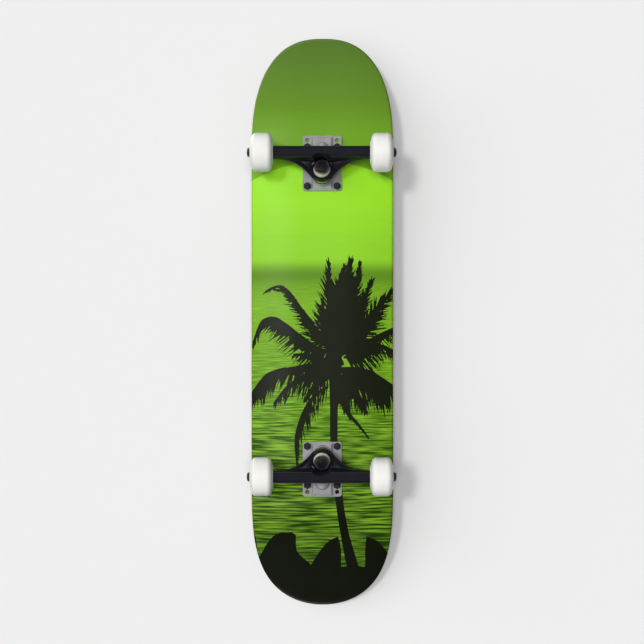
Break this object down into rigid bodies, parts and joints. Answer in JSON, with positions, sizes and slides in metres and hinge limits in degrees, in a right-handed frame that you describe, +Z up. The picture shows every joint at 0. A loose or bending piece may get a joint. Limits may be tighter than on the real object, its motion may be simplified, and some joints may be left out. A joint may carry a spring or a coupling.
{
  "type": "skateboard",
  "caption": "Complete street skateboard: a concave board with raised nose and tail and a palm beach print, silver and black trucks that steer on soft bushings, and white wheels.",
  "frame": {"origin": "on the floor under the wheels, midway between the two tips of the board and on its centre line", "axes": "+X towards the nose, +Y to the left when facing the nose, +Z up; the board stands on its four wheels"},
  "size_m": [0.8016, 0.2032, 0.1349],
  "materials": {
    "maple": "gloss",
    "grip": "matte",
    "silver_cast": "satin",
    "black_cast": "satin",
    "black_steel": "satin",
    "dark_steel": "satin",
    "plated_steel": "polished",
    "axle_steel": "satin",
    "bearing_steel": "polished",
    "shield_black": "matte",
    "cup_plastic": "matte",
    "bushing_urethane": "satin",
    "white_urethane": "satin"
  },
  "bodies": {
    "board": {"deck": "maple", "grip_tape": "grip", "front_truck_bolts": "black_steel", "rear_truck_bolts": "black_steel", "front_truck_nuts": "black_steel", "rear_truck_nuts": "black_steel", "front_baseplate": "silver_cast", "front_pivot_cup": "cup_plastic", "front_kingpin": "dark_steel", "front_kingpin_nut": "black_steel", "front_board_side_bushing": "bushing_urethane", "front_road_side_bushing": "bushing_urethane", "front_board_side_washer": "plated_steel", "front_road_side_washer": "plated_steel", "rear_baseplate": "silver_cast", "rear_pivot_cup": "cup_plastic", "rear_kingpin": "dark_steel", "rear_kingpin_nut": "black_steel", "rear_board_side_bushing": "bushing_urethane", "rear_road_side_bushing": "bushing_urethane", "rear_board_side_washer": "plated_steel", "rear_road_side_washer": "plated_steel"},
    "front_hanger_body": {"front_hanger": "black_cast", "front_axle": "axle_steel", "front_left_inner_rings": "bearing_steel", "front_left_spacer": "bearing_steel", "front_left_speed_rings": "bearing_steel", "front_left_axle_nut": "black_steel", "front_right_inner_rings": "bearing_steel", "front_right_spacer": "bearing_steel", "front_right_speed_rings": "bearing_steel", "front_right_axle_nut": "black_steel"},
    "rear_hanger_body": {"rear_hanger": "black_cast", "rear_axle": "axle_steel", "rear_left_inner_rings": "bearing_steel", "rear_left_spacer": "bearing_steel", "rear_left_speed_rings": "bearing_steel", "rear_left_axle_nut": "black_steel", "rear_right_inner_rings": "bearing_steel", "rear_right_spacer": "bearing_steel", "rear_right_speed_rings": "bearing_steel", "rear_right_axle_nut": "black_steel"},
    "front_left_wheel_body": {"front_left_wheel": "white_urethane", "front_left_outer_rings": "bearing_steel", "front_left_shields": "shield_black"},
    "front_left_ball_body": {"front_left_ball_sets": "bearing_steel"},
    "front_right_wheel_body": {"front_right_wheel": "white_urethane", "front_right_outer_rings": "bearing_steel", "front_right_shields": "shield_black"},
    "front_right_ball_body": {"front_right_ball_sets": "bearing_steel"},
    "rear_left_wheel_body": {"rear_left_wheel": "white_urethane", "rear_left_outer_rings": "bearing_steel", "rear_left_shields": "shield_black"},
    "rear_left_ball_body": {"rear_left_ball_sets": "bearing_steel"},
    "rear_right_wheel_body": {"rear_right_wheel": "white_urethane", "rear_right_outer_rings": "bearing_steel", "rear_right_shields": "shield_black"},
    "rear_right_ball_body": {"rear_right_ball_sets": "bearing_steel"}
  },
  "joints": [
    {"name": "front_steer", "type": "hinge", "parent": "board", "child": "front_hanger_body", "pos_m": [0.2248, 0, 0.0685], "axis": [0.8428, 0, 0.5382], "range_deg": [-15, 15], "stiffness_Nm_per_rad": 30, "deforming": ["front_board_side_bushing", "front_road_side_bushing"]},
    {"name": "rear_steer", "type": "hinge", "parent": "board", "child": "rear_hanger_body", "pos_m": [-0.2367, 0, 0.0685], "axis": [-0.8428, 0, 0.5382], "range_deg": [-15, 15], "stiffness_Nm_per_rad": 30, "deforming": ["rear_board_side_bushing", "rear_road_side_bushing"]},
    {"name": "front_left_spin", "type": "hinge", "parent": "front_hanger_body", "child": "front_left_wheel_body", "pos_m": [0.2143, 0.0815, 0.0265], "axis": [0, 1, 0], "continuous": true},
    {"name": "front_left_ball_spin", "type": "hinge", "parent": "front_hanger_body", "child": "front_left_ball_body", "pos_m": [0.2143, 0.0815, 0.0265], "axis": [0, 1, 0], "continuous": true},
    {"name": "front_right_spin", "type": "hinge", "parent": "front_hanger_body", "child": "front_right_wheel_body", "pos_m": [0.2143, -0.0815, 0.0265], "axis": [0, 1, 0], "continuous": true},
    {"name": "front_right_ball_spin", "type": "hinge", "parent": "front_hanger_body", "child": "front_right_ball_body", "pos_m": [0.2143, -0.0815, 0.0265], "axis": [0, 1, 0], "continuous": true},
    {"name": "rear_left_spin", "type": "hinge", "parent": "rear_hanger_body", "child": "rear_left_wheel_body", "pos_m": [-0.2262, 0.0815, 0.0265], "axis": [0, 1, 0], "continuous": true},
    {"name": "rear_left_ball_spin", "type": "hinge", "parent": "rear_hanger_body", "child": "rear_left_ball_body", "pos_m": [-0.2262, 0.0815, 0.0265], "axis": [0, 1, 0], "continuous": true},
    {"name": "rear_right_spin", "type": "hinge", "parent": "rear_hanger_body", "child": "rear_right_wheel_body", "pos_m": [-0.2262, -0.0815, 0.0265], "axis": [0, 1, 0], "continuous": true},
    {"name": "rear_right_ball_spin", "type": "hinge", "parent": "rear_hanger_body", "child": "rear_right_ball_body", "pos_m": [-0.2262, -0.0815, 0.0265], "axis": [0, 1, 0], "continuous": true}
  ],
  "couplings": [
    {"joint": "front_left_ball_spin", "follows": "front_left_spin", "ratio": 0.632},
    {"joint": "front_right_ball_spin", "follows": "front_right_spin", "ratio": 0.632},
    {"joint": "rear_left_ball_spin", "follows": "rear_left_spin", "ratio": 0.632},
    {"joint": "rear_right_ball_spin", "follows": "rear_right_spin", "ratio": 0.632}
  ]
}
